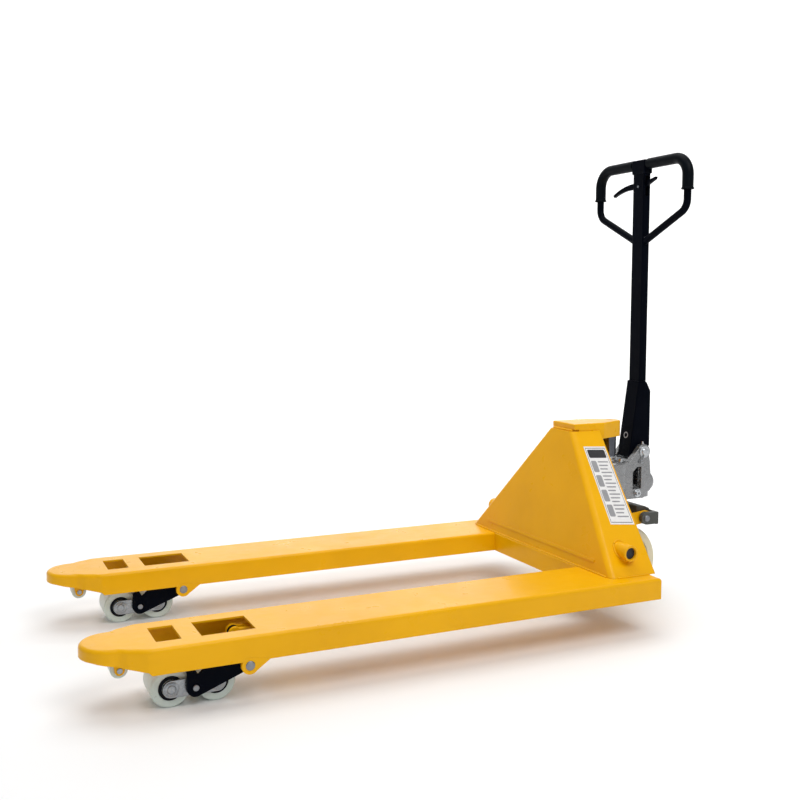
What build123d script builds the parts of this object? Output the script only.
from build123d import *
import os
from math import atan2, cos, degrees, radians, sin, sqrt

# Hand pallet jack, in millimetres. +X points from the forks to the operator, +Z is up from the floor,
# and Y is across the forks, with -Y on the operator's left.
# The forks are modelled partly raised, the tiller upright and the steering straight.

# Driving dimensions of the fork frame
WIDTH = 685.0
FORK_WIDTH = 160.0
FORK_TOP = 129.0
FORK_BOTTOM = 81.5
PLATE = 4.0
TIP_X = -748.0
HEEL_X = 501.5
HEEL_STEP = 0.5
FULL_DEPTH_X = -632.0
NOSE_RADIUS = 55.0
FORK_Y = (WIDTH - FORK_WIDTH) / 2
FORK_BEND_R = 7.0
FOOT_X = 395.5
WINDOWS = ((-617.5, -570.5), (-533.5, -429.5))
WINDOW_HALF = 41.0
ENTRY_X = -679.5
ENTRY_Z = 79.0

# Bulkhead, head cap and rocker pivot
BULKHEAD_TOP = 424.0
BULKHEAD_FULL_TOP = 430.0
BULKHEAD_FOOT_X = FOOT_X - 3.0
BULKHEAD_LEAN = 72.5
BULKHEAD_FOOT_HALF = 305.0
BULKHEAD_TOP_HALF = 44.0
BULKHEAD_FOOT_DEPTH = 122.5
BULKHEAD_TOP_DEPTH = 83.0
BULKHEAD_PLATE = 5.0
BULKHEAD_CORNER_R = 14.0
RIB_Z = 153.0
RIB_LENGTH = 470.0
CAP_TOP = 442.0
CAP_SKIRT_BOTTOM = 402.0
CAP_HALF = 46.0
CAP_NOSE_R = 24.0
CAP_NOSE_X = 619.0
CAP_FRONT_X = FOOT_X + 78.5
CAP_FOLD_X = FOOT_X + 168.5
CAP_LIP_END_X = FOOT_X + 92.0
CAP_WALL = 5.0
ROCKER_X = 453.5
ROCKER_Z = 178.0
ROCKER_BOSS_R = 18.5
ROCKER_SHAFT_R = 13.5
ROCKER_BOSS_END = 296.0

# Steering axis, wheels and crown bracket
STEER_X = 615.5
WHEEL_R = 90.0
WHEEL_Z = WHEEL_R
WHEEL_INNER_Y = 28.0
WHEEL_WIDTH = 50.0
BRACKET_PIN_X = 649.0
BRACKET_PIN_Z = 204.5
BRACKET_BOTTOM = 188.0
BRACKET_TOP = 219.0
BRACKET_WIDE = 84.0
BRACKET_PIN_R = 8.0
EAR_INNER_Y = 102.0
EAR_OUTER_Y = 114.0
ARM_INNER_Y = 88.0
ARM_OUTER_Y = 100.0
ROCKER_ANGLE = atan2(BRACKET_PIN_Z - ROCKER_Z, BRACKET_PIN_X - ROCKER_X)
ROCKER_LENGTH = sqrt((BRACKET_PIN_Z - ROCKER_Z) ** 2 + (BRACKET_PIN_X - ROCKER_X) ** 2)

# Pump
PUMP_BOTTOM = 240.0
PUMP_TOP = 337.0
PUMP_R = 46.0
PUMP_HALF = 41.0
RAM_R = 17.5
RAM_BOTTOM = 269.0
PUMP_BORE_BOTTOM = 216.0
NECK_R = 22.0
BOLT_X = 676.0
BOLT_Z = 254.0
WINDOW = [(661.0, 265.0), (688.0, 265.0), (688.0, 322.0), (674.0, 322.0), (661.0, 309.0)]
BULGE_Z = 275.5
BULGE_R = 25.5
BULGE_END_X = -TIP_X

# Plunger and its spring in the pump, and the release valve's lever
PLUNGER_X = 714.5
PLUNGER_R = 9.0
PLUNGER_BOTTOM = 267.0
PLUNGER_TOP = 362.8
BARREL_BOTTOM = 238.0
CHAMBER_R = 20.5
CHAMBER_BOTTOM = 270.0
SPRING_TOP = 324.0
SPRING_WIRE_R = 2.2
SPRING_COIL_R = 17.0
SPRING_PITCH = 9.5
RELEASE_X = 708.0
RELEASE_Z = 258.0

# Tiller
TILLER_X = 695.5
TILLER_Z = 360.0
TILLER_SHAFT_R = 9.0
TUBE_X = 702.5
TUBE_HALF_X = 11.0
TUBE_HALF_Y = 21.0
LOOP_Y = 169.0
LOOP_TOP_Z = 1096.0
LOOP_R = 9.0
GRIP_R = 13.5
LOOP_JOIN_Z = 898.0
LOOP_BEND_Z = 973.0
LOOP_LOWER_BEND_R = 34.0
LOOP_UPPER_BEND_R = 44.0
GRIP_BOTTOM_Z = 1017.0
GRIP_INNER_Y = 28.0
LEVER_Z = 1040.0
BASE_HALF = TUBE_HALF_Y + 3.0
BASE_TOP = 541.0
PRESS_ROLLER_R = 8.5
PRESS_PIN_R = 3.5
PRESS_ARM = 18.5
PRESS_ANGLE = radians(42)
PRESS_ROLLER_X = TILLER_X + PRESS_ARM * cos(PRESS_ANGLE)
PRESS_ROLLER_Z = TILLER_Z + PRESS_ARM * sin(PRESS_ANGLE)

# Load wheels at the fork tips
LOAD_PIVOT_X = -452.5
LOAD_PIVOT_Z = 73.5
LOAD_PIN_R = 9.0
BOGIE_X = -547.5
BOGIE_Z = 37.0
BOGIE_PIN_R = 6.0
ROLLER_R = 37.0
ROLLER_SPACING = 43.0
ROLLER_WIDTH = 70.0
AXLE_R = 8.0
LINK_Y = 232.0
ROD_Z = 103.0
LEVER_R = 12.0
LINK_PIN_R = 6.0
ARM_PLATE_IN = 46.0
ARM_PLATE_OUT = 52.0

# Running clearance between a pin or shaft and what turns on it
RUN = 0.06

SIDES = {"left": -1, "right": 1}

os.makedirs("parts", exist_ok=True)


def save(name, shape):
    export_step(shape, os.path.join("parts", name + ".step"))


def box(x0, x1, y0, y1, z0, z1):
    size = Box(x1 - x0, y1 - y0, z1 - z0)
    return Pos((x0 + x1) / 2, (y0 + y1) / 2, (z0 + z1) / 2) * size


def cyl_x(y, z, r, x0, x1):
    return Pos((x0 + x1) / 2, y, z) * Rot(0, 90, 0) * Cylinder(r, x1 - x0)


def cyl_y(x, z, r, y0, y1):
    return Pos(x, (y0 + y1) / 2, z) * Rot(90, 0, 0) * Cylinder(r, y1 - y0)


def cyl_z(x, y, r, z0, z1):
    return Pos(x, y, (z0 + z1) / 2) * Cylinder(r, z1 - z0)


def ring_y(x, z, r_out, r_in, y0, y1):
    return cyl_y(x, z, r_out, y0, y1) - cyl_y(x, z, r_in, y0 - 1, y1 + 1)


def ring_z(x, y, r_out, r_in, z0, z1):
    return cyl_z(x, y, r_out, z0, z1) - cyl_z(x, y, r_in, z0 - 1, z1 + 1)


def plate_xz(points, y0, y1):
    """A plate whose outline lies in the XZ plane, from y0 to y1."""
    outline = make_face(Polyline(*[(x, y1, z) for x, z in points], close=True))
    return extrude(outline, amount=y1 - y0, dir=(0, -1, 0))


def plate_xy(points, z0, z1):
    """A plate whose outline lies in the XY plane, from z0 to z1."""
    outline = make_face(Polyline(*[(x, y, z0) for x, y in points], close=True))
    return extrude(outline, amount=z1 - z0, dir=(0, 0, 1))


def slot_xz(xa, za, xb, zb, ra, rb, y0, y1):
    """A link plate in XZ: two round ends of radius ra and rb, joined by straight tangent edges."""
    length = sqrt((xb - xa) ** 2 + (zb - za) ** 2)
    lean = atan2(zb - za, xb - xa)
    side = sqrt(1 - ((ra - rb) / length) ** 2)
    tilt = (ra - rb) / length
    ends = []
    for x, z, r in ((xa, za, ra), (xb, zb, rb)):
        for sign in (1, -1):
            along = r * tilt
            across = sign * r * side
            px = x + along * cos(lean) - across * sin(lean)
            pz = z + along * sin(lean) + across * cos(lean)
            ends.append((px, pz))
    web = plate_xz([ends[0], ends[2], ends[3], ends[1]], y0, y1)
    return web + cyl_y(xa, za, ra, y0, y1) + cyl_y(xb, zb, rb, y0, y1)


def mirror_y(shape):
    return mirror(shape, about=Plane.XZ)


def for_side(shape, side):
    """Parts are drawn on the +Y side and mirrored for -Y."""
    return shape if side > 0 else mirror_y(shape)


def fork_outline(z, inset):
    """Plan outline of a fork on its own centre line, with all edges moved in by inset."""
    half = FORK_WIDTH / 2 - inset
    nose_r = NOSE_RADIUS - inset
    nose_x = TIP_X + NOSE_RADIUS
    heel = HEEL_X - inset
    shoulder = [
        (FULL_DEPTH_X, half),
        (FULL_DEPTH_X - 23.0, half - 8.0),
        (FULL_DEPTH_X - 44.5, nose_r + 8.0),
        (nose_x, nose_r),
    ]
    upper = [Vector(x, y, z) for x, y in shoulder]
    lower = [Vector(x, -y, z) for x, y in reversed(shoulder)]
    edges = [
        Line((heel, -half, z), (heel, half, z)),
        Line((heel, half, z), upper[0]),
        Spline(*upper, tangents=[(-1, 0, 0), (-1, 0, 0)]),
        ThreePointArc(upper[-1], (nose_x - nose_r, 0, z), lower[0]),
        Spline(*lower, tangents=[(1, 0, 0), (1, 0, 0)]),
        Line(lower[-1], (heel, -half, z)),
    ]
    return make_face(Wire(edges))


def fork():
    """A folded channel with a rounded nose, two windows and an open underside."""
    outer = extrude(fork_outline(FORK_BOTTOM, 0), amount=FORK_TOP - FORK_BOTTOM)
    top_edges = outer.edges().filter_by(lambda e: e.center().Z > FORK_TOP - 0.01)
    outer = fillet(top_edges, FORK_BEND_R)
    inner = extrude(fork_outline(FORK_BOTTOM - 5, PLATE), amount=FORK_TOP - PLATE - FORK_BOTTOM + 5)
    shell = outer - inner
    for x0, x1 in WINDOWS:
        shell -= box(x0, x1, -WINDOW_HALF, WINDOW_HALF, FORK_TOP - 20, FORK_TOP + 5)
    nose_cut = [
        (FULL_DEPTH_X, FORK_BOTTOM - 10),
        (FULL_DEPTH_X, FORK_BOTTOM),
        (FULL_DEPTH_X - 6, FORK_BOTTOM + 6),
        (FULL_DEPTH_X - 32, FORK_BOTTOM + 11.5),
        (TIP_X + 44, FORK_BOTTOM + 19.5),
        (TIP_X + 17, FORK_BOTTOM + 24.5),
        (TIP_X - 10, FORK_BOTTOM + 25.5),
        (TIP_X - 10, FORK_BOTTOM - 10),
    ]
    shell -= plate_xz(nose_cut, -FORK_WIDTH, FORK_WIDTH)
    return shell - box(FOOT_X - 8, HEEL_X + 1, -FORK_WIDTH, FORK_WIDTH, FORK_TOP - HEEL_STEP, FORK_TOP + 1)


def lug(y0, y1):
    """Teardrop lug that carries a load-frame pivot pin under the skirt."""
    tail = [
        (LOAD_PIVOT_X, LOAD_PIVOT_Z + 14.5),
        (LOAD_PIVOT_X + 39, FORK_BOTTOM + 3),
        (LOAD_PIVOT_X + 39, FORK_BOTTOM),
        (LOAD_PIVOT_X + 6, LOAD_PIVOT_Z - 15.4),
    ]
    return cyl_y(LOAD_PIVOT_X, LOAD_PIVOT_Z, 16.5, y0, y1) + plate_xz(tail, y0, y1)


def lug_blanks():
    """The four lugs before their pin holes are bored."""
    blanks = []
    for side in SIDES.values():
        centre = side * FORK_Y
        blanks.append(lug(centre + 72.0, centre + 80.0))
        blanks.append(lug(centre - 80.0, centre - 72.0))
    return blanks


def fork_lugs():
    bore = cyl_y(LOAD_PIVOT_X, LOAD_PIVOT_Z, LOAD_PIN_R, -WIDTH / 2 - 1, WIDTH / 2 + 1)
    return [blank - bore for blank in lug_blanks()]


def fork_frame_forks():
    """Both forks, cut for their lugs and for the rocker levers that reach down into them."""
    plain = fork()
    forks = {}
    for name, side in SIDES.items():
        shape = Pos(0, side * FORK_Y, 0) * plain
        for piece in lug_blanks():
            shape -= piece
        slot = box(FOOT_X + 24, FOOT_X + 92, LINK_Y - 9.0, LINK_Y + 9.0, FORK_TOP - 20, FORK_TOP + 5)
        shape -= for_side(slot, side)
        forks[name] = shape
    return forks


def crossbeam():
    """Channel that joins the two forks in front of the bulkhead."""
    inner_y = FORK_Y - FORK_WIDTH / 2
    x0 = FOOT_X - 8
    x1 = FOOT_X + 58
    z1 = FORK_TOP - HEEL_STEP
    top = box(x0, x1, -inner_y, inner_y, FORK_TOP - PLATE, z1)
    front = box(x0, x0 + PLATE, -inner_y, inner_y, FORK_BOTTOM, FORK_TOP - PLATE)
    rear = box(x1 - PLATE, x1, -inner_y, inner_y, FORK_TOP - 22, FORK_TOP - PLATE)
    beam = top + front + rear
    nose = beam.edges().filter_by(Axis.Y).sort_by(lambda e: e.center().X - e.center().Z)[0:1]
    return fillet(nose, 3.0)


def bulkhead_section(z, inset_x, inset_y, extra_rear):
    """Plan rectangle of the bulkhead at height z, with rounded front corners."""
    rise = (z - FORK_TOP) / (BULKHEAD_FULL_TOP - FORK_TOP)
    half = BULKHEAD_FOOT_HALF + (BULKHEAD_TOP_HALF - BULKHEAD_FOOT_HALF) * rise - inset_y
    front = BULKHEAD_FOOT_X + BULKHEAD_LEAN * rise + inset_x
    depth_change = BULKHEAD_TOP_DEPTH - BULKHEAD_FOOT_DEPTH
    depth = BULKHEAD_FOOT_DEPTH + depth_change * rise
    rear = BULKHEAD_FOOT_X + BULKHEAD_LEAN * rise + depth + extra_rear
    corner = BULKHEAD_CORNER_R - inset_x
    edges = [
        Line((rear, half, z), (front + corner, half, z)),
        TangentArc((front + corner, half, z), (front, half - corner, z), tangent=(-1, 0, 0)),
        Line((front, half - corner, z), (front, -half + corner, z)),
        TangentArc((front, -half + corner, z), (front + corner, -half, z), tangent=(0, -1, 0)),
        Line((front + corner, -half, z), (rear, -half, z)),
        Line((rear, -half, z), (rear, half, z)),
    ]
    return make_face(Wire(edges))


def bulkhead_solid(inset_x, inset_y, extra_rear, below, above):
    low = bulkhead_section(FORK_TOP - below, inset_x, inset_y, extra_rear)
    high = bulkhead_section(BULKHEAD_TOP + above, inset_x, inset_y, extra_rear)
    return loft([low, high], ruled=True)


def bulkhead():
    """Bent plate: a leaning front face with two inclined side flanges."""
    lean_x = atan2(BULKHEAD_LEAN, BULKHEAD_FULL_TOP - FORK_TOP)
    lean_y = atan2(BULKHEAD_FOOT_HALF - BULKHEAD_TOP_HALF, BULKHEAD_FULL_TOP - FORK_TOP)
    inset_x = BULKHEAD_PLATE / cos(lean_x)
    inset_y = BULKHEAD_PLATE / cos(lean_y)
    outer = bulkhead_solid(0, 0, 0, HEEL_STEP, 0)
    inner = bulkhead_solid(inset_x, inset_y, 60, 12, 8)
    shell = outer - inner
    for side in SIDES.values():
        hole = cyl_y(ROCKER_X, ROCKER_Z, ROCKER_BOSS_R, 200, 330)
        shell -= for_side(hole, side)
    return shell - cap_outer()


def bulkhead_rib():
    """Low stiffening bead pressed across the front face."""
    x = BULKHEAD_FOOT_X + BULKHEAD_LEAN * (RIB_Z - FORK_TOP) / (BULKHEAD_FULL_TOP - FORK_TOP)
    tilt = degrees(atan2(BULKHEAD_LEAN, BULKHEAD_FULL_TOP - FORK_TOP))
    return Pos(x, 0, RIB_Z) * Rot(0, tilt, 0) * Box(4.0, RIB_LENGTH, 7.0)


def cap_plan(inset, z):
    """Plan of the head cap: straight sides that run in to a round nose over the lift ram."""
    half = CAP_HALF - inset
    front = CAP_FRONT_X + inset
    fold = CAP_FOLD_X + inset / 4
    nose_r = CAP_NOSE_R - inset
    reach = sqrt((CAP_NOSE_X - fold) ** 2 + half ** 2)
    bearing = atan2(half, fold - CAP_NOSE_X)
    touch = bearing - (radians(90) - atan2(nose_r, sqrt(reach ** 2 - nose_r ** 2)))
    tx = CAP_NOSE_X + nose_r * cos(touch)
    ty = nose_r * sin(touch)
    edges = [
        Line((front, -half, z), (fold, -half, z)),
        Line((fold, -half, z), (tx, -ty, z)),
        ThreePointArc((tx, -ty, z), (CAP_NOSE_X + nose_r, 0, z), (tx, ty, z)),
        Line((tx, ty, z), (fold, half, z)),
        Line((fold, half, z), (front, half, z)),
        Line((front, half, z), (front, -half, z)),
    ]
    return make_face(Wire(edges))


def cap_outer():
    """Outside of the head cap: a deep skirt behind, and only a shallow lip in front."""
    solid = extrude(cap_plan(0, CAP_SKIRT_BOTTOM), amount=CAP_TOP - CAP_SKIRT_BOTTOM)
    return solid - box(FOOT_X, CAP_LIP_END_X, -60, 60, CAP_SKIRT_BOTTOM - 5, BULKHEAD_TOP + 4)


def head_cap():
    top_edges = cap_outer().edges().filter_by(lambda e: e.center().Z > CAP_TOP - 0.01)
    outer = fillet(top_edges, 3.5)
    hollow_height = CAP_TOP - CAP_WALL - CAP_SKIRT_BOTTOM + 5
    hollow = extrude(cap_plan(CAP_WALL, CAP_SKIRT_BOTTOM - 5), amount=hollow_height)
    shell = outer - hollow
    return shell - cyl_z(STEER_X, 0, 8.0, CAP_TOP - 10, CAP_TOP + 5)


def rocker_bosses():
    """Tubes welded through the bulkhead flanges, which carry the rocker shaft."""
    bosses = []
    for side in SIDES.values():
        boss = ring_y(ROCKER_X, ROCKER_Z, ROCKER_BOSS_R, ROCKER_SHAFT_R, 241.0, ROCKER_BOSS_END)
        circles = boss.edges().filter_by(GeomType.CIRCLE)
        rim = circles.filter_by(lambda e: e.center().Y > ROCKER_BOSS_END - 0.1)
        bosses.append(for_side(fillet(rim, 1.2), side))
    return bosses


def rocker_shaft():
    """Shaft through both bosses; its ends sit a little inside them."""
    end = ROCKER_BOSS_END - 6.0
    return cyl_y(ROCKER_X, ROCKER_Z, ROCKER_SHAFT_R, -end, end)


def lift_ram():
    rod = cyl_z(STEER_X, 0, RAM_R, RAM_BOTTOM, CAP_TOP - 17)
    return chamfer(rod.edges().sort_by(Axis.Z)[0:1], 2.0)


def ram_head():
    """Ram head plate under the cap, with the screw that comes up through the cap's top."""
    plate = cyl_z(STEER_X, 0, RAM_R + 0.5, CAP_TOP - 17, CAP_TOP - 5)
    screw = cyl_z(STEER_X, 0, 8.0, CAP_TOP - 5, CAP_TOP - 1)
    return plate + screw


def load_pivot_pins():
    pins = []
    for side in SIDES.values():
        pin = cyl_y(LOAD_PIVOT_X, LOAD_PIVOT_Z, LOAD_PIN_R, side * FORK_Y - 81.5, side * FORK_Y + 81.5)
        pins.append(chamfer(pin.edges().filter_by(GeomType.CIRCLE), 1.2))
    return pins


def entry_bracket(side):
    """Two tabs under the nose that hold the entry roller."""
    y = side * FORK_Y
    tabs = []
    for edge in (-1, 1):
        y0 = y + edge * 22.0 - 2.5
        outline = [
            (ENTRY_X - 18, FORK_TOP - PLATE),
            (ENTRY_X + 18, FORK_TOP - PLATE),
            (ENTRY_X + 9, ENTRY_Z),
            (ENTRY_X - 9, ENTRY_Z),
        ]
        tab = plate_xz(outline, y0, y0 + 5) + cyl_y(ENTRY_X, ENTRY_Z, 9.0, y0, y0 + 5)
        tabs.append(tab - cyl_y(ENTRY_X, ENTRY_Z, 5.0, y0 - 1, y0 + 6))
    return tabs


def entry_axle(side):
    y = side * FORK_Y
    return cyl_y(ENTRY_X, ENTRY_Z, 5.0, y - 26, y + 26)


def entry_roller(side):
    y = side * FORK_Y
    roller = ring_y(ENTRY_X, ENTRY_Z, 16.0, 5.0 + RUN, y - 18.5, y + 18.5)
    rims = roller.edges().filter_by(GeomType.CIRCLE).filter_by(lambda e: e.radius > 10)
    return fillet(rims, 2.0)


def bottom_ties():
    """Flat plates that close the channel's underside behind the load frames."""
    ties = []
    for side in SIDES.values():
        y = side * FORK_Y
        half = FORK_WIDTH / 2 - PLATE
        x0 = LOAD_PIVOT_X + 60.5
        ties.append(box(x0, x0 + 80, y - half, y + half, FORK_BOTTOM, FORK_BOTTOM + PLATE))
    return ties


def safety_decals():
    """Thin rectangular stickers on the outside of the two inclined flanges."""
    decals = []
    rise = BULKHEAD_FULL_TOP - FORK_TOP
    run = BULKHEAD_FOOT_HALF - BULKHEAD_TOP_HALF
    tilt = degrees(atan2(run, rise))
    length = sqrt(rise ** 2 + run ** 2)
    for side in SIDES.values():
        outline = [(FOOT_X + 82, 391.0), (FOOT_X + 144, 388.0), (FOOT_X + 125, 224.0), (FOOT_X + 60, 229.0)]
        column = plate_xz(outline, 0, 400)
        skin = Pos(FOOT_X + 100, BULKHEAD_FOOT_HALF - run / 2, FORK_TOP + rise / 2)
        skin = skin * Rot(tilt, 0, 0) * Pos(0, 0.2, 0) * Box(220, 0.4, length)
        decals.append(for_side(column & skin, side))
    return decals


def save_fork_frame():
    for name, shape in fork_frame_forks().items():
        save("fork_" + name, shape)
    save("crossbeam", crossbeam())
    save("bulkhead", bulkhead() + bulkhead_rib())
    save("head_cap", head_cap())
    save("rocker_bosses", Compound(children=rocker_bosses()))
    save("rocker_shaft", rocker_shaft())
    save("lift_ram", lift_ram())
    save("ram_head", ram_head())
    save("load_pivot_pins", Compound(children=load_pivot_pins()))
    save("fork_lugs", Compound(children=fork_lugs()))
    entry_tabs = []
    for side in SIDES.values():
        entry_tabs += entry_bracket(side)
    save("entry_brackets", Compound(children=entry_tabs))
    save("entry_axles", Compound(children=[entry_axle(side) for side in SIDES.values()]))
    for name, side in SIDES.items():
        save("entry_roller_" + name, entry_roller(side))
    save("bottom_ties", Compound(children=bottom_ties()))
    save("safety_decals", Compound(children=safety_decals()))


def crown_bracket():
    """Casting between the wheels and the pump: a ring round the steering neck, falling to a rear bar
    whose two ears hold the rocker's rear pins."""
    ring = cyl_z(STEER_X, 0, 46.0, 218.0, 231.0)
    slope = [
        (STEER_X + 30, 231.0),
        (STEER_X + 50, 229.0),
        (STEER_X + 62, 224.0),
        (STEER_X + 66, BRACKET_TOP),
        (STEER_X + 66, BRACKET_TOP - 10),
        (STEER_X + 50, 213.0),
        (STEER_X + 30, 217.0),
    ]
    web = plate_xz([(STEER_X - 20, 231.0)] + slope + [(STEER_X - 20, 218.0)], -46.0, 46.0)
    wide = [(STEER_X + 25, 231.0)] + slope + [(STEER_X + 25, 217.0)]
    shoulder = plate_xz(wide, -BRACKET_WIDE, BRACKET_WIDE)
    bar = box(STEER_X + 61, STEER_X + 69, -EAR_OUTER_Y, EAR_OUTER_Y, BRACKET_BOTTOM, BRACKET_TOP)
    bar = fillet(bar.edges().filter_by(Axis.Y).filter_by(lambda e: e.center().X > STEER_X + 68), 2.0)
    body = ring + web + shoulder + bar
    for side in SIDES.values():
        ear = box(BRACKET_PIN_X, STEER_X + 63, EAR_INNER_Y, EAR_OUTER_Y, BRACKET_BOTTOM + 1, BRACKET_TOP)
        ear += cyl_y(BRACKET_PIN_X, BRACKET_PIN_Z, 15.5, EAR_INNER_Y, EAR_OUTER_Y)
        body += for_side(ear, side)
    body -= cyl_z(STEER_X, 0, NECK_R + 0.08, 150, 260)
    return body - cyl_y(BRACKET_PIN_X, BRACKET_PIN_Z, BRACKET_PIN_R, -200, 200)


def bracket_pins():
    """Short pins from the ears into the rocker's slotted rear ends."""
    pins = []
    for side in SIDES.values():
        shank = cyl_y(BRACKET_PIN_X, BRACKET_PIN_Z, BRACKET_PIN_R, ARM_INNER_Y + 1, EAR_OUTER_Y + 2)
        end = shank.edges().filter_by(GeomType.CIRCLE).filter_by(lambda e: e.center().Y > EAR_OUTER_Y)
        pins.append(for_side(chamfer(end, 1.2), side))
    return pins


def thrust_bearing():
    return ring_z(STEER_X, 0, 42.0, NECK_R + 0.08, 231.0, PUMP_BOTTOM - 0.4)


def pump_body():
    """Pump casting: oil cylinder, neck and axle housing on the steering axis, with two ears and a
    window behind it for the tiller, the plunger and its spring."""
    cylinder = cyl_z(STEER_X, 0, PUMP_R, PUMP_BOTTOM, PUMP_TOP)
    rim = cylinder.edges().filter_by(GeomType.CIRCLE).sort_by(Axis.Z)[-1:]
    cylinder = fillet(rim, 6.0)
    neck = cyl_z(STEER_X, 0, NECK_R, WHEEL_Z, PUMP_BOTTOM)
    housing = cyl_y(STEER_X, WHEEL_Z, 23.0, -WHEEL_INNER_Y + 1.5, WHEEL_INNER_Y - 1.5)
    flank = [
        (STEER_X + 14, PUMP_BOTTOM),
        (STEER_X + 82, PUMP_BOTTOM),
        (STEER_X + 88, PUMP_BOTTOM + 10),
        (STEER_X + 102, PUMP_BOTTOM + 20),
        (STEER_X + 112, PUMP_BOTTOM + 42),
        (STEER_X + 102, PUMP_BOTTOM + 64),
        (STEER_X + 99, TILLER_Z - 24),
        (TILLER_X + 16, TILLER_Z - 9),
        (TILLER_X - 16, TILLER_Z + 9),
        (STEER_X + 34, PUMP_TOP - 1),
        (STEER_X + 14, PUMP_TOP - 1),
    ]
    block = plate_xz(flank, -PUMP_HALF, PUMP_HALF)
    block = fillet(block.edges().filter_by(Axis.Y).filter_by(lambda e: e.center().Z < 345), 5.0)
    block += cyl_y(TILLER_X, TILLER_Z, 19.0, -PUMP_HALF, PUMP_HALF)
    bulge = cyl_x(0, BULGE_Z, BULGE_R, STEER_X + 60, BULGE_END_X)
    bulge = fillet(bulge.edges().filter_by(GeomType.CIRCLE).sort_by(Axis.X)[-1:], 12.0)
    barrel = cyl_z(PLUNGER_X, 0, 23.5, BARREL_BOTTOM, 300.0)
    stud = cyl_y(RELEASE_X, RELEASE_Z, 3.0, PUMP_HALF - 1, PUMP_HALF + 7.5)
    stud += cyl_y(RELEASE_X, RELEASE_Z, 5.5, PUMP_HALF + 6, PUMP_HALF + 7.5)
    body = cylinder + block + bulge + neck + housing + barrel + stud
    body -= box(STEER_X + 50, 780, -26.5, 26.5, 318.0, 400)
    body -= box(STEER_X + 38, 780, -26.5, 26.5, 341.0, 400)
    body -= cyl_z(PLUNGER_X, 0, CHAMBER_R, CHAMBER_BOTTOM, 330)
    body -= plate_xz(WINDOW, -PUMP_HALF - 1, PUMP_HALF + 1)
    body -= box(WINDOW[0][0], PLUNGER_X, -28, 28, CHAMBER_BOTTOM, 318.0)
    body -= cyl_z(PLUNGER_X, 0, PLUNGER_R + RUN, BARREL_BOTTOM + 3, 330)
    body -= cyl_y(TILLER_X, TILLER_Z, TILLER_SHAFT_R, -60, 60)
    body -= cyl_z(STEER_X, 0, RAM_R + RUN, PUMP_BORE_BOTTOM, 345)
    body -= cyl_y(STEER_X, WHEEL_Z, 10.0, -60, 60)
    for side in SIDES.values():
        body -= cyl_y(BOLT_X, BOLT_Z, 5.0, side * PUMP_HALF - 10, side * PUMP_HALF + 10)
    return body


def gland_nut():
    """Hexagon gland nut at the top of the oil cylinder, round the ram."""
    collar = cyl_z(STEER_X, 0, 23.5, PUMP_TOP, PUMP_TOP + 4)
    hexagon = extrude(Pos(STEER_X, 0, PUMP_TOP + 4) * RegularPolygon(21.0, 6), amount=6.0)
    lip = cyl_z(STEER_X, 0, 19.5, PUMP_TOP + 10, PUMP_TOP + 12)
    return collar + hexagon + lip - cyl_z(STEER_X, 0, RAM_R + RUN, PUMP_TOP - 1, PUMP_TOP + 20)


def pump_fittings():
    """Oil filler screw on the cylinder's top and two grease nipples on the tiller shaft's ears."""
    pieces = []
    filler = cyl_z(STEER_X + 12, -32.0, 6.0, PUMP_TOP, PUMP_TOP + 2.5)
    head = extrude(Pos(STEER_X + 12, -32.0, PUMP_TOP + 2.5) * RegularPolygon(5.5, 6), amount=5.0)
    pieces.append(filler + head)
    for side in SIDES.values():
        base = cyl_z(TILLER_X, side * 34.0, 3.5, TILLER_Z + 18, TILLER_Z + 22)
        base -= cyl_y(TILLER_X, TILLER_Z, 19.0, side * 34.0 - 6, side * 34.0 + 6)
        tip = cyl_z(TILLER_X, side * 34.0, 2.4, TILLER_Z + 22, TILLER_Z + 26)
        pieces.append(base + tip)
    return pieces


def cover_bolts():
    """Socket screws with washers at the foot of the pump's window, one each side."""
    bolts = []
    for side in SIDES.values():
        washer = cyl_y(BOLT_X, BOLT_Z, 10.5, PUMP_HALF, PUMP_HALF + 2)
        head = cyl_y(BOLT_X, BOLT_Z, 7.0, PUMP_HALF + 2, PUMP_HALF + 7)
        shank = cyl_y(BOLT_X, BOLT_Z, 5.0, PUMP_HALF - 10, PUMP_HALF)
        socket = extrude(
            Pos(BOLT_X, PUMP_HALF + 7, BOLT_Z) * Rot(90, 0, 0) * RegularPolygon(3.4, 6),
            amount=3.5,
        )
        bolts.append(for_side(washer + head + shank - socket, side))
    return bolts


def wheel_axle():
    return cyl_y(STEER_X, WHEEL_Z, 10.0, -WHEEL_INNER_Y - WHEEL_WIDTH + 4, WHEEL_INNER_Y + WHEEL_WIDTH - 4)


def axle_nuts():
    """Washer and retaining ring on each end of the steering axle."""
    nuts = []
    for side in SIDES.values():
        outer = WHEEL_INNER_Y + WHEEL_WIDTH
        washer = ring_y(STEER_X, WHEEL_Z, 15.0, 10.0, outer - 10.5, outer - 8.5)
        ring = ring_y(STEER_X, WHEEL_Z, 13.0, 10.0, outer - 8.5, outer - 6.5)
        nuts.append(for_side(washer + ring, side))
    return nuts


def steer_tyre():
    """Nylon steering wheel on the +Y side: tread, dished web and hub bore."""
    y0 = WHEEL_INNER_Y
    y1 = WHEEL_INNER_Y + WHEEL_WIDTH
    wheel = cyl_y(STEER_X, WHEEL_Z, WHEEL_R, y0, y1)
    rims = wheel.edges().filter_by(GeomType.CIRCLE)
    wheel = fillet(rims, 6.0)
    for a, b in ((y1 - 9, y1 + 1), (y0 - 1, y0 + 7)):
        wheel -= ring_y(STEER_X, WHEEL_Z, 70.0, 32.0, a, b)
    return wheel - cyl_y(STEER_X, WHEEL_Z, 24.0, y0 - 1, y1 + 1)


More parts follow.
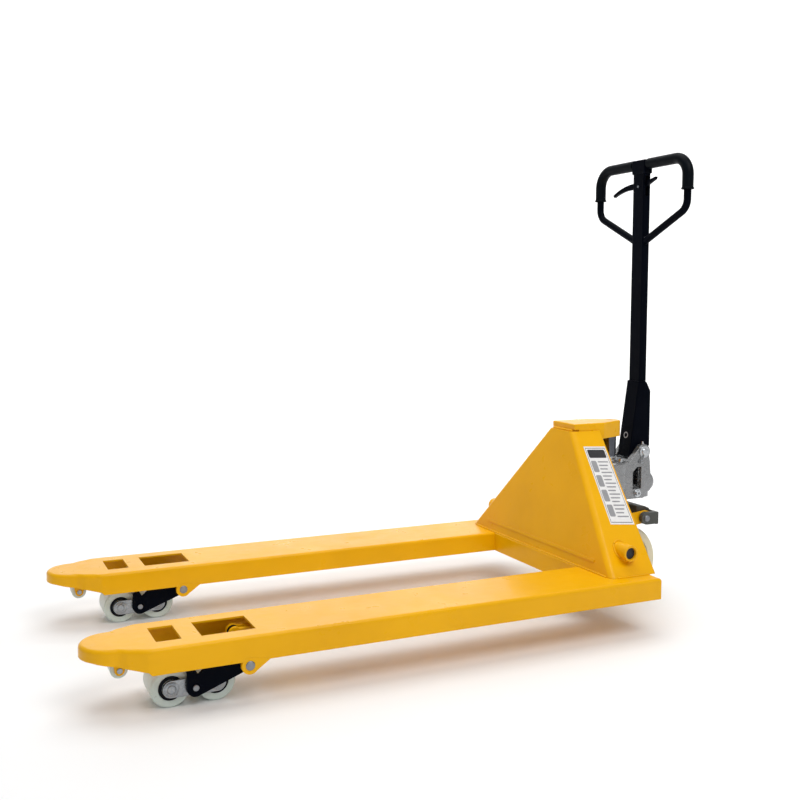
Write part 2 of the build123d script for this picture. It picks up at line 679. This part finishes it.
def steer_hub():
    """Bearing pair pressed into the steering wheel, running on the axle."""
    y0 = WHEEL_INNER_Y
    y1 = WHEEL_INNER_Y + WHEEL_WIDTH
    hub = ring_y(STEER_X, WHEEL_Z, 24.0, 10.0 + RUN, y0 + 2, y1 - 11.5)
    groove = ring_y(STEER_X, WHEEL_Z, 20.5, 14.0, y1 - 13.5, y1 - 10)
    return hub - groove


def handle_shaft():
    """Tiller pivot shaft through the pump's ears, with a collar at each end."""
    shaft = cyl_y(TILLER_X, TILLER_Z, TILLER_SHAFT_R, -PUMP_HALF - 6, PUMP_HALF + 6)
    shaft = chamfer(shaft.edges().filter_by(GeomType.CIRCLE), 1.5)
    for side in SIDES.values():
        collar = ring_y(TILLER_X, TILLER_Z, 15.0, TILLER_SHAFT_R, PUMP_HALF, PUMP_HALF + 3)
        shaft += for_side(collar, side)
    return shaft


def split_pins():
    """Spring pins hanging from the shaft's ends, clear of the casting."""
    pins = []
    for side in SIDES.values():
        leg = cyl_z(TILLER_X, PUMP_HALF + 5.0, 1.3, TILLER_Z - 24, TILLER_Z - 9)
        eye = Pos(TILLER_X, PUMP_HALF + 5.0, TILLER_Z - 27) * Rot(90, 0, 0) * Torus(3.4, 1.3)
        pin = leg + eye
        pin = Pos(TILLER_X, 0, TILLER_Z) * Rot(0, 24, 0) * Pos(-TILLER_X, 0, -TILLER_Z) * pin
        pins.append(for_side(pin, side))
    return pins


def plunger():
    """Pump plunger with a wide head that the tiller's roller presses and a collar for the spring."""
    rod = cyl_z(PLUNGER_X, 0, PLUNGER_R, PLUNGER_BOTTOM, PLUNGER_TOP)
    collar = cyl_z(PLUNGER_X, 0, 19.0, SPRING_TOP, SPRING_TOP + 4)
    return rod + collar


def plunger_spring():
    height = SPRING_TOP - CHAMBER_BOTTOM - 2 * SPRING_WIRE_R
    path = Helix(pitch=SPRING_PITCH, height=height, radius=SPRING_COIL_R)
    section = Plane(origin=path @ 0, z_dir=path % 0) * Circle(SPRING_WIRE_R)
    coil = sweep(section, path=path)
    return Pos(PLUNGER_X, 0, CHAMBER_BOTTOM + SPRING_WIRE_R) * coil


def release_lever():
    """Valve lever on a stud at the pump's +Y flank, with a small pad at its end."""
    y0 = PUMP_HALF + 0.6
    lever = slot_xz(RELEASE_X, RELEASE_Z, RELEASE_X + 22, RELEASE_Z - 5, 7.0, 4.0, y0, y0 + 5)
    lever += box(RELEASE_X + 19, RELEASE_X + 25, y0, y0 + 9, RELEASE_Z - 9, RELEASE_Z - 1)
    return lever - cyl_y(RELEASE_X, RELEASE_Z, 3.0 + RUN, y0 - 1, y0 + 6)


def handle_base():
    """Pressed channel round the foot of the tiller, carrying its pivot and the pressure roller."""
    front_foot = TILLER_X - 34.0
    front_top = TUBE_X - TUBE_HALF_X - 3.0
    rear = TUBE_X + TUBE_HALF_X + 12.0
    foot = TILLER_Z - 14.0
    outline = [
        (front_foot, foot),
        (TILLER_X + 4, foot),
        (TILLER_X + 16, TILLER_Z - 6),
        (rear, TILLER_Z + 14),
        (rear, BASE_TOP - 26),
        (TUBE_X + TUBE_HALF_X, BASE_TOP - 4),
        (TUBE_X + TUBE_HALF_X - 6, BASE_TOP),
        (front_top, BASE_TOP),
    ]
    cheek = plate_xz(outline, TUBE_HALF_Y, BASE_HALF)
    front = plate_xz(
        [
            (front_foot, foot),
            (front_foot + 4, foot),
            (front_top + 3, BASE_TOP),
            (front_top, BASE_TOP),
        ],
        -BASE_HALF,
        BASE_HALF,
    )
    base = cheek + mirror_y(cheek) + front
    base += box(rear - 3, rear, -BASE_HALF, BASE_HALF, TILLER_Z + 90, BASE_TOP - 28)
    long_edges = base.edges().filter_by(lambda e: e.length > 150 and abs(e.center().Y) > BASE_HALF - 0.1)
    front_edges = long_edges.sort_by(lambda e: e.center().X)[0:2]
    base = fillet(front_edges, 2.5)
    base -= cyl_y(TILLER_X, TILLER_Z, TILLER_SHAFT_R + RUN, -60, 60)
    return base - cyl_y(PRESS_ROLLER_X, PRESS_ROLLER_Z, PRESS_PIN_R, -60, 60)


def tiller_pins():
    """Pin of the pressure roller, and pin of the control lever."""
    roller_pin = cyl_y(PRESS_ROLLER_X, PRESS_ROLLER_Z, PRESS_PIN_R, -BASE_HALF, BASE_HALF)
    lever_pin = cyl_x(0, LEVER_Z, 3.0, TUBE_X - TUBE_HALF_X - 1.5, TUBE_X + TUBE_HALF_X + 1.5)
    return [roller_pin, lever_pin]


def pressure_roller():
    return ring_y(PRESS_ROLLER_X, PRESS_ROLLER_Z, PRESS_ROLLER_R, PRESS_PIN_R + RUN, -15, 15)


def handle_tube():
    """Rectangular tiller tube, slotted at the top for the control lever."""
    bottom = BASE_TOP - 60
    top = LOOP_TOP_Z - LOOP_R - 1
    outer = box(TUBE_X - TUBE_HALF_X, TUBE_X + TUBE_HALF_X, -TUBE_HALF_Y, TUBE_HALF_Y, bottom, top)
    outer = fillet(outer.edges().filter_by(Axis.Z), 2.5)
    wall = 2.5
    bore = box(
        TUBE_X - TUBE_HALF_X + wall,
        TUBE_X + TUBE_HALF_X - wall,
        -TUBE_HALF_Y + wall,
        TUBE_HALF_Y - wall,
        bottom - 1,
        top - 3,
    )
    slot = box(TUBE_X - 5, TUBE_X + 5, -30, 30, LEVER_Z - 24, LEVER_Z + 26)
    return outer - bore - slot - cyl_x(0, LEVER_Z, 3.0, TUBE_X - 20, TUBE_X + 20)


def loop_path():
    points = [
        (TUBE_X, TUBE_HALF_Y - 8, LOOP_JOIN_Z),
        (TUBE_X, LOOP_Y, LOOP_BEND_Z),
        (TUBE_X, LOOP_Y, LOOP_TOP_Z),
        (TUBE_X, -LOOP_Y, LOOP_TOP_Z),
        (TUBE_X, -LOOP_Y, LOOP_BEND_Z),
        (TUBE_X, -TUBE_HALF_Y + 8, LOOP_JOIN_Z),
    ]
    bends = (LOOP_LOWER_BEND_R, LOOP_UPPER_BEND_R, LOOP_UPPER_BEND_R, LOOP_LOWER_BEND_R)
    return FilletPolyline(*points, radius=bends)


def handle_loop():
    """Tubular hand loop, welded to both sides of the tiller tube."""
    path = loop_path()
    section = Plane(origin=path @ 0, z_dir=path % 0) * Circle(LOOP_R)
    loop = sweep(section, path=path)
    tube = box(TUBE_X - 30, TUBE_X + 30, -TUBE_HALF_Y, TUBE_HALF_Y, 850, 940)
    return loop - tube


def grip():
    """Sleeve over the +Y upper corner of the loop."""
    points = [
        (TUBE_X, LOOP_Y, GRIP_BOTTOM_Z),
        (TUBE_X, LOOP_Y, LOOP_TOP_Z),
        (TUBE_X, GRIP_INNER_Y, LOOP_TOP_Z),
    ]
    path = FilletPolyline(*points, radius=LOOP_UPPER_BEND_R)
    at_start = Plane(origin=path @ 0, z_dir=path % 0)
    outer = sweep(at_start * Circle(GRIP_R), path=path)
    inner = sweep(at_start * Circle(LOOP_R), path=path)
    return outer - inner


def loop_bridge():
    """Saddle that joins the tube's top to the middle of the loop."""
    saddle = box(TUBE_X - 13, TUBE_X + 13, -25, 25, LOOP_TOP_Z - 24, LOOP_TOP_Z + 11)
    saddle = fillet(saddle.edges(), 3.0)
    tube = box(TUBE_X - TUBE_HALF_X, TUBE_X + TUBE_HALF_X, -TUBE_HALF_Y, TUBE_HALF_Y, 1000, 1086)
    bar = cyl_y(TUBE_X, LOOP_TOP_Z, LOOP_R, -40, 40)
    return saddle - tube - bar


def control_lever():
    """Finger lever that comes out of the tube on the +Y side, with a short tail on the other."""
    x0 = TUBE_X - 4
    x1 = TUBE_X + 4
    blade = [(8.0, 1032.0), (62.0, 1034.0), (107.0, 1022.0)]
    upper = [(110.0, 1028.0), (66.0, 1045.0), (8.0, 1050.0)]
    edges = [
        Spline(*[(x0, y, z) for y, z in blade]),
        Line((x0, *blade[-1]), (x0, *upper[0])),
        Spline(*[(x0, y, z) for y, z in upper]),
        Line((x0, *upper[-1]), (x0, *blade[0])),
    ]
    paddle = extrude(make_face(Wire(edges)), amount=x1 - x0, dir=(1, 0, 0))
    hub = cyl_x(0, LEVER_Z, 10.0, x0, x1)
    tail_points = [(-4.0, 1033.0), (-54.0, 1054.0), (-56.0, 1060.0), (-4.0, 1049.0)]
    tail_face = make_face(Polyline(*[(x0, y, z) for y, z in tail_points], close=True))
    tail = extrude(tail_face, amount=x1 - x0, dir=(1, 0, 0))
    return paddle + hub + tail - cyl_x(0, LEVER_Z, 3.0 + RUN, x0 - 1, x1 + 1)


def pull_rod():
    """Release rod inside the tiller tube, under the control lever."""
    rod = cyl_z(TUBE_X, 12.0, 3.0, 470.0, 1024.0)
    return rod + box(TUBE_X - 4, TUBE_X + 4, 8, 16, 1018.0, 1024.0)


def save_pump_and_tiller():
    save("crown_bracket", crown_bracket())
    save("bracket_pins", Compound(children=bracket_pins()))
    save("thrust_bearing", thrust_bearing())
    save("pump_body", pump_body())
    save("gland_nut", gland_nut())
    save("pump_fittings", Compound(children=pump_fittings()))
    save("cover_bolts", Compound(children=cover_bolts()))
    save("wheel_axle", wheel_axle())
    save("axle_nuts", Compound(children=axle_nuts()))
    for name, side in SIDES.items():
        save("steer_tyre_" + name, for_side(steer_tyre(), side))
        save("steer_hub_" + name, for_side(steer_hub(), side))
    save("handle_shaft", handle_shaft())
    save("split_pins", Compound(children=split_pins()))
    save("plunger", plunger())
    save("plunger_spring", plunger_spring())
    save("release_lever", release_lever())
    save("handle_base", handle_base())
    save("tiller_pins", Compound(children=tiller_pins()))
    save("pressure_roller", pressure_roller())
    save("handle_tube", handle_tube())
    save("handle_loop", handle_loop())
    for name, side in SIDES.items():
        save("grip_" + name, for_side(grip(), side))
    save("loop_bridge", loop_bridge())
    save("control_lever", control_lever())
    save("pull_rod", pull_rod())


def on_arm(along, across):
    """A point measured along the rocker's rear arm from its pivot, and across it."""
    x = ROCKER_X + along * cos(ROCKER_ANGLE) - across * sin(ROCKER_ANGLE)
    z = ROCKER_Z + along * sin(ROCKER_ANGLE) + across * cos(ROCKER_ANGLE)
    return (x, z)


def rocker_arm():
    """Rear arm on the +Y side, with a slotted end for the crown bracket's pin."""
    reach = 209.0
    profile = [
        on_arm(0, 20.0),
        on_arm(60, 18.0),
        on_arm(ROCKER_LENGTH, 14.0),
        on_arm(reach, 14.0),
        on_arm(reach, -14.0),
        on_arm(ROCKER_LENGTH - 14, -14.0),
        on_arm(70, -13.0),
        on_arm(0, -20.0),
    ]
    arm = plate_xz(profile, ARM_INNER_Y, ARM_OUTER_Y)
    tip_x, tip_z = on_arm(reach, 0)
    arm += cyl_y(tip_x, tip_z, 14.0, ARM_INNER_Y, ARM_OUTER_Y)
    arm += cyl_y(ROCKER_X, ROCKER_Z, 24.0, ARM_INNER_Y, ARM_OUTER_Y)
    slot_r = BRACKET_PIN_R + 1.8
    ax, az = on_arm(196.0, 0)
    bx, bz = on_arm(208.5, 0)
    slot = slot_xz(ax, az, bx, bz, slot_r, slot_r - 0.01, ARM_INNER_Y - 1, ARM_OUTER_Y + 1)
    return arm - slot


def rocker():
    """Cross tube on the rocker shaft, with two rear arms and two levers that push the rods."""
    body = cyl_y(ROCKER_X, ROCKER_Z, 16.0, -240.4, 240.4)
    for side in SIDES.values():
        lever = slot_xz(ROCKER_X, ROCKER_Z, ROCKER_X, ROD_Z, 15.9, LEVER_R, LINK_Y - 6, LINK_Y + 6)
        body += for_side(lever + rocker_arm(), side)
    body -= cyl_y(ROCKER_X, ROCKER_Z, ROCKER_SHAFT_R + RUN, -300, 300)
    return body - cyl_y(ROCKER_X, ROD_Z, LINK_PIN_R + RUN, -300, 300)


def push_rod():
    """Square rod under the fork's top on the +Y side, with a clevis at each end. The front clevis
    shows its pin's heads only, because the rod and the load frame are linked by ratio."""
    rear = ROCKER_X
    front = LOAD_PIVOT_X
    bar = box(front + 23, rear - 16, LINK_Y - 7, LINK_Y + 7, ROD_Z - 8, ROD_Z + 8)
    rod = bar
    for x, inward in ((rear, -1), (front, 1)):
        for y0 in (LINK_Y - 13.5, LINK_Y + 6.5):
            cheek = cyl_y(x, ROD_Z, 13.0, y0, y0 + 7)
            x0, x1 = sorted((x, x + inward * 60))
            cheek += box(x0, x1, y0, y0 + 7, ROD_Z - 10, ROD_Z + 10)
            rod += cheek
    rod += box(rear - 60, rear - 16, LINK_Y - 13.5, LINK_Y + 13.5, ROD_Z - 8, ROD_Z + 8)
    rod += box(front + 23, front + 60, LINK_Y - 13.5, LINK_Y + 13.5, ROD_Z - 8, ROD_Z + 8)
    rod += cyl_y(rear, ROD_Z, LINK_PIN_R, LINK_Y - 15, LINK_Y + 15)
    heads = cyl_y(front, ROD_Z, LINK_PIN_R, LINK_Y - 15, LINK_Y + 15)
    return rod + (heads - box(front - 20, front + 20, LINK_Y - 12, LINK_Y + 12, 80, 125))


def load_frame():
    """Load frame of the +Y fork: a pivot sleeve, two notched arm plates and a lever for the rod."""
    px, pz = LOAD_PIVOT_X, LOAD_PIVOT_Z
    bx, bz = BOGIE_X, BOGIE_Z
    profile = [
        (bx - 17, bz + 2),
        (bx - 16, 68.0),
        (bx - 4, 75.0),
        (bx + 5, 61.0),
        (bx + 26, 80.0),
        (px - 6, pz + 18),
        (px + 12, pz + 14),
        (px + 8, pz - 16),
        (bx + 7, bz - 15.5),
    ]
    body = cyl_y(px, pz, 14.0, FORK_Y - 71, FORK_Y + 71)
    for y0 in (FORK_Y - ARM_PLATE_OUT, FORK_Y + ARM_PLATE_IN):
        y1 = y0 + ARM_PLATE_OUT - ARM_PLATE_IN
        plate = plate_xz(profile, y0, y1) + cyl_y(px, pz, 18.0, y0, y1) + cyl_y(bx, bz, 17.0, y0, y1)
        body += plate
    body += slot_xz(px, pz, px, ROD_Z, 13.9, LEVER_R, LINK_Y - 6, LINK_Y + 6)
    body -= cyl_y(px, pz, LOAD_PIN_R + RUN, 0, 400)
    return body - cyl_y(bx, bz, BOGIE_PIN_R, 0, 400)


def bogie_pins():
    """Stub pins that join the arm plates to the link plates on each side of the rollers."""
    pins = []
    for y0 in (FORK_Y - 55, FORK_Y + 38):
        pin = cyl_y(BOGIE_X, BOGIE_Z, BOGIE_PIN_R, y0, y0 + 17)
        pins.append(chamfer(pin.edges().filter_by(GeomType.CIRCLE), 1.0))
    return pins


def bogie_links():
    """The two link plates that carry a tandem pair of rollers."""
    links = []
    for y0 in (FORK_Y - 43, FORK_Y + 38):
        x0 = BOGIE_X - ROLLER_SPACING
        x1 = BOGIE_X + ROLLER_SPACING
        link = slot_xz(x0, BOGIE_Z, x1, BOGIE_Z, 16.0, 15.99, y0, y0 + 5)
        link -= cyl_y(BOGIE_X, BOGIE_Z, BOGIE_PIN_R + RUN, y0 - 1, y0 + 6)
        for x in (x0, x1):
            link -= cyl_y(x, BOGIE_Z, AXLE_R, y0 - 1, y0 + 6)
        links.append(link)
    return links


def load_axles():
    axles = []
    for x in (BOGIE_X - ROLLER_SPACING, BOGIE_X + ROLLER_SPACING):
        axle = cyl_y(x, BOGIE_Z, AXLE_R, FORK_Y - 45, FORK_Y + 45)
        axles.append(chamfer(axle.edges().filter_by(GeomType.CIRCLE), 1.0))
    return axles


def load_roller(x):
    half = ROLLER_WIDTH / 2
    roller = cyl_y(x, BOGIE_Z, ROLLER_R, FORK_Y - half, FORK_Y + half)
    roller = fillet(roller.edges().filter_by(GeomType.CIRCLE), 4.0)
    for a, b in ((FORK_Y + half - 3, FORK_Y + half + 1), (FORK_Y - half - 1, FORK_Y - half + 3)):
        roller -= ring_y(x, BOGIE_Z, 23.0, 19.0, a, b)
    return roller - cyl_y(x, BOGIE_Z, AXLE_R + RUN, 0, 400)


def save_linkage():
    save("rocker", rocker())
    for name, side in SIDES.items():
        save("push_rod_" + name, for_side(push_rod(), side))
        save("load_frame_" + name, for_side(load_frame(), side))
        pins = [for_side(pin, side) for pin in bogie_pins()]
        save("bogie_pins_" + name, Compound(children=pins))
        links = [for_side(link, side) for link in bogie_links()]
        save("bogie_links_" + name, Compound(children=links))
        axles = [for_side(axle, side) for axle in load_axles()]
        save("load_axles_" + name, Compound(children=axles))
        front = load_roller(BOGIE_X - ROLLER_SPACING)
        rear = load_roller(BOGIE_X + ROLLER_SPACING)
        save("load_roller_front_" + name, for_side(front, side))
        save("load_roller_rear_" + name, for_side(rear, side))


save_fork_frame()
save_pump_and_tiller()
save_linkage()
